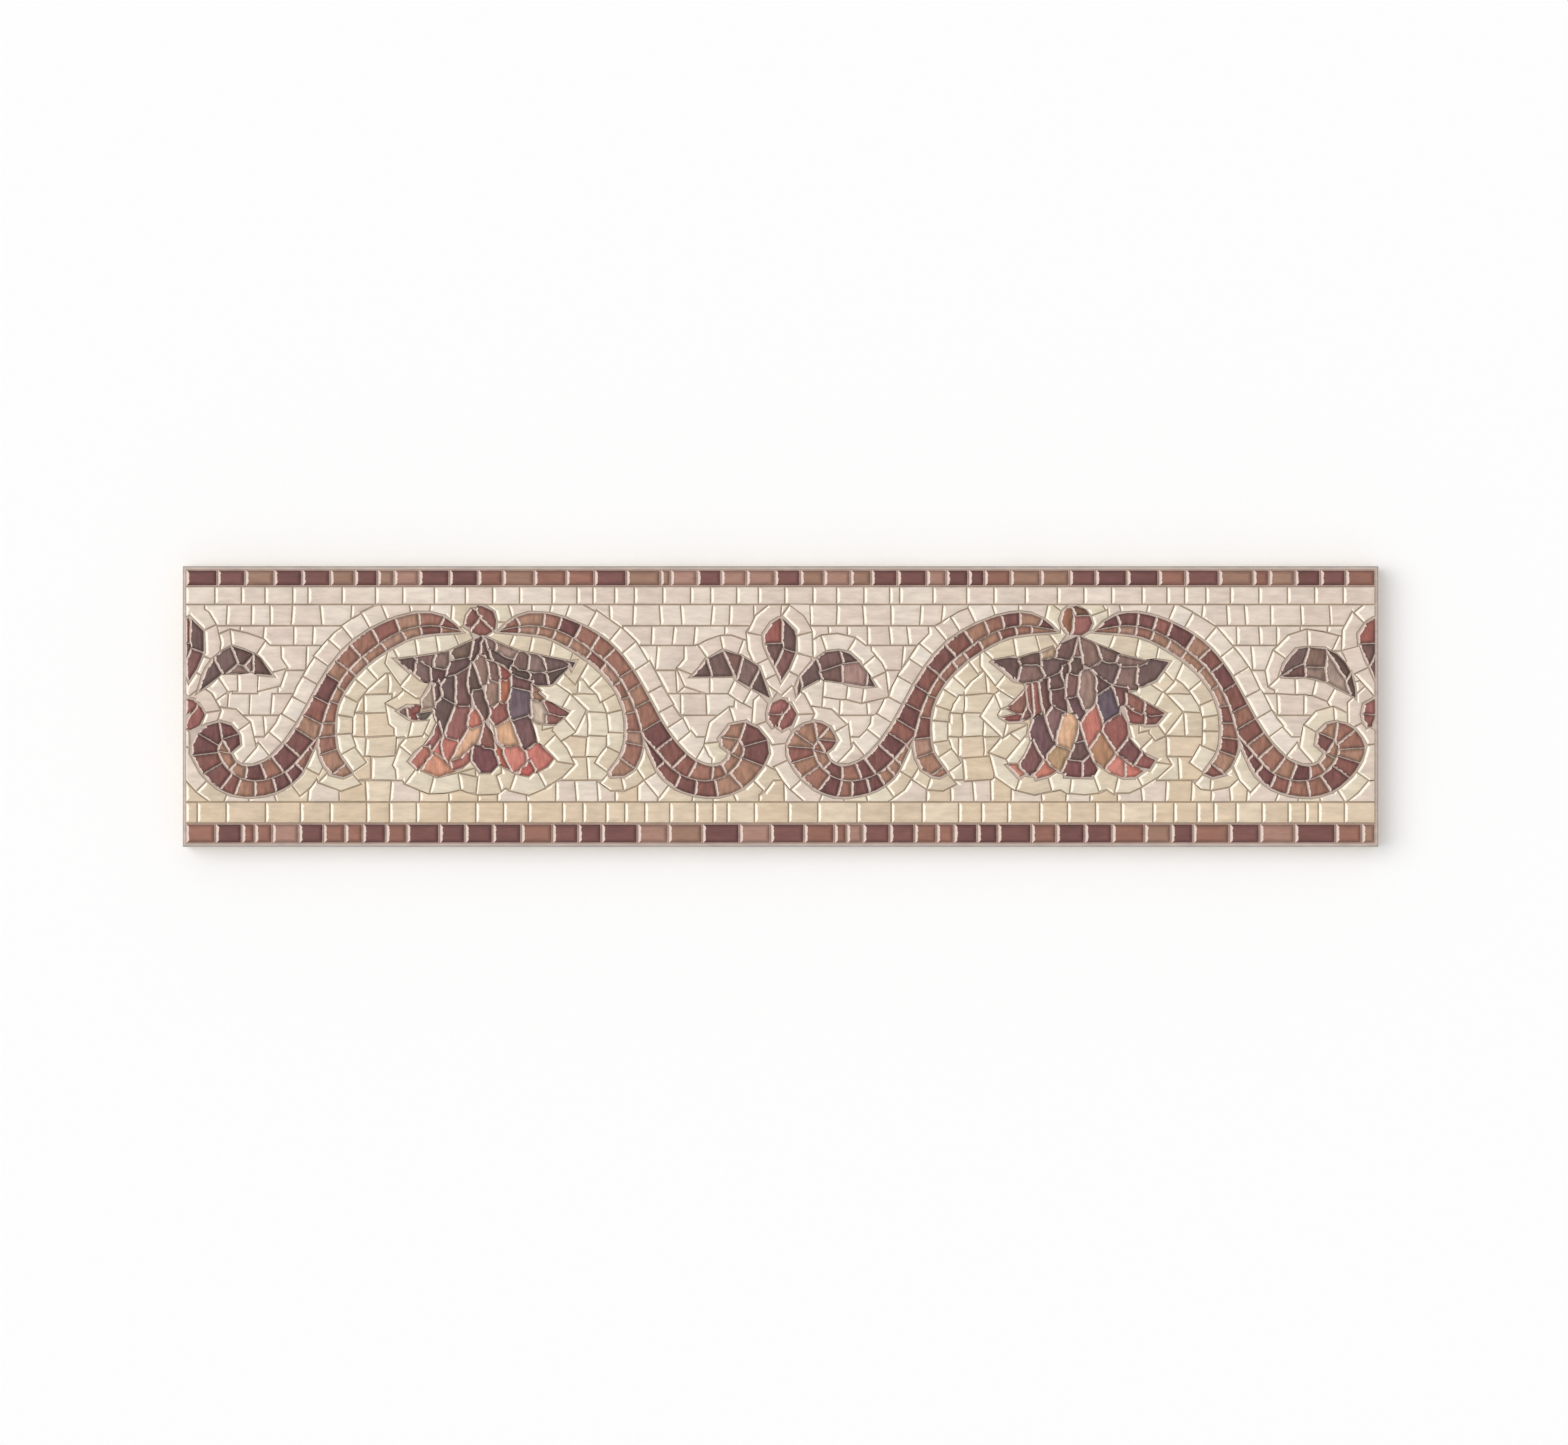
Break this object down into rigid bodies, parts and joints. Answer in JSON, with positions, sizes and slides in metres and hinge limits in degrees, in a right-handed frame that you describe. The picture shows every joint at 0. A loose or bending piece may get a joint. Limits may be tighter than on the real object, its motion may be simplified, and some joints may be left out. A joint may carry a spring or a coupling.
{
  "type": "border tile",
  "caption": "Long flat ceramic border tile with a mosaic-look running scroll, lily flowers and straight edge courses; trims a tiled wall.",
  "frame": {"origin": "middle of the back face, on the plane the tile lies on", "axes": "+X along the border to the right of the pattern, +Y across the border to the top of the pattern, +Z out of the decorated face"},
  "size_m": [0.298, 0.07, 0.008],
  "materials": {
    "glazed_ceramic": "glossy mottled glaze in creams, browns, maroon and coral"
  },
  "bodies": {
    "root": {"border_tile": "glazed_ceramic"}
  },
  "joints": []
}
